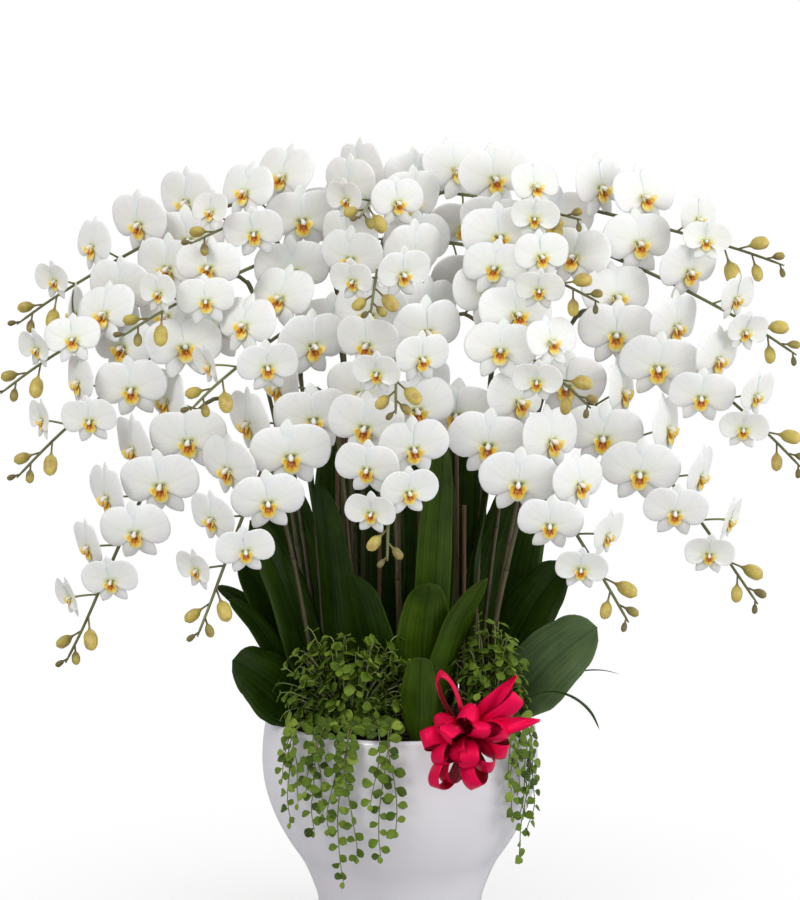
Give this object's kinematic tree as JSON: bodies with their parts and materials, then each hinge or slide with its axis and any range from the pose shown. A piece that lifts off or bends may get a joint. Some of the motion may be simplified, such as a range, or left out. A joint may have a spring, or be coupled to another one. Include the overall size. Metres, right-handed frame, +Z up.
{
  "type": "potted orchid",
  "caption": "White moth orchids in arching sprays above strap leaves, planted in a round glazed pot with trailing creepers and a ribbon bow",
  "frame": {"origin": "centre of the flat underside of the pot, on the pot's axis", "axes": "+Z up along the pot's axis, -Y the front that the flowers face, +X to the right as seen from the front"},
  "size_m": [1.0247, 0.6502, 1.0641],
  "materials": {
    "pot_glaze": "glossy white glaze",
    "growing_mix": "moss over bark mix, rough",
    "petal": "soft white petals, slightly waxy",
    "flower_lip": "waxy yellow to deep orange",
    "stem": "smooth olive to brown stems",
    "bud": "waxy yellow-green buds",
    "strap_leaf": "dark green, waxy sheen",
    "grey_leaf": "grey-green, matt",
    "creeper_leaf": "fresh green, matt",
    "stake": "dull brown",
    "ribbon": "crimson satin",
    "wire": "green florist's wire"
  },
  "bodies": {
    "root": {"blade_right_lower": "strap_leaf", "blade_right_upper": "strap_leaf", "bow": "ribbon", "bow_pick": "wire", "creeper_left": "creeper_leaf", "creeper_right": "creeper_leaf", "leaf_back_centre": "strap_leaf", "leaf_back_left": "strap_leaf", "leaf_back_right": "strap_leaf", "leaf_centre_left": "strap_leaf", "leaf_centre_tall": "strap_leaf", "leaf_front_broad": "strap_leaf", "leaf_front_folded": "strap_leaf", "leaf_front_left": "strap_leaf", "leaf_inner_left": "strap_leaf", "leaf_inner_right": "strap_leaf", "leaf_left_high": "strap_leaf", "leaf_left_low": "strap_leaf", "leaf_left_small": "strap_leaf", "leaf_left_tall": "strap_leaf", "leaf_left_upper": "strap_leaf", "leaf_mid_left": "strap_leaf", "leaf_mid_right": "strap_leaf", "leaf_rear_centre": "strap_leaf", "leaf_rear_far_left": "strap_leaf", "leaf_rear_far_right": "strap_leaf", "leaf_rear_left": "strap_leaf", "leaf_rear_right": "strap_leaf", "leaf_right_broad": "grey_leaf", "leaf_right_front": "strap_leaf", "leaf_right_high": "strap_leaf", "pot": "pot_glaze", "soil": "growing_mix", "spray_high_centre": "petal", "spray_high_far_left": "petal", "spray_high_far_right": "petal", "spray_high_left": "petal", "spray_high_right": "petal", "spray_low_centre": "petal", "spray_low_far_left": "petal", "spray_low_far_right": "petal", "spray_low_left": "petal", "spray_low_right": "petal", "spray_mid_centre": "petal", "spray_mid_far_left": "petal", "spray_mid_far_right": "petal", "spray_mid_left": "petal", "spray_mid_right": "petal", "spray_top_centre": "petal", "spray_top_far_left": "petal", "spray_top_far_right": "petal", "spray_top_left": "petal", "spray_top_right": "petal", "stake_back_left": "stake", "stake_back_right": "stake", "stake_centre_back": "stake", "stake_centre_front": "stake", "stake_mid_left": "stake", "stake_mid_right": "stake"}
  },
  "joints": []
}
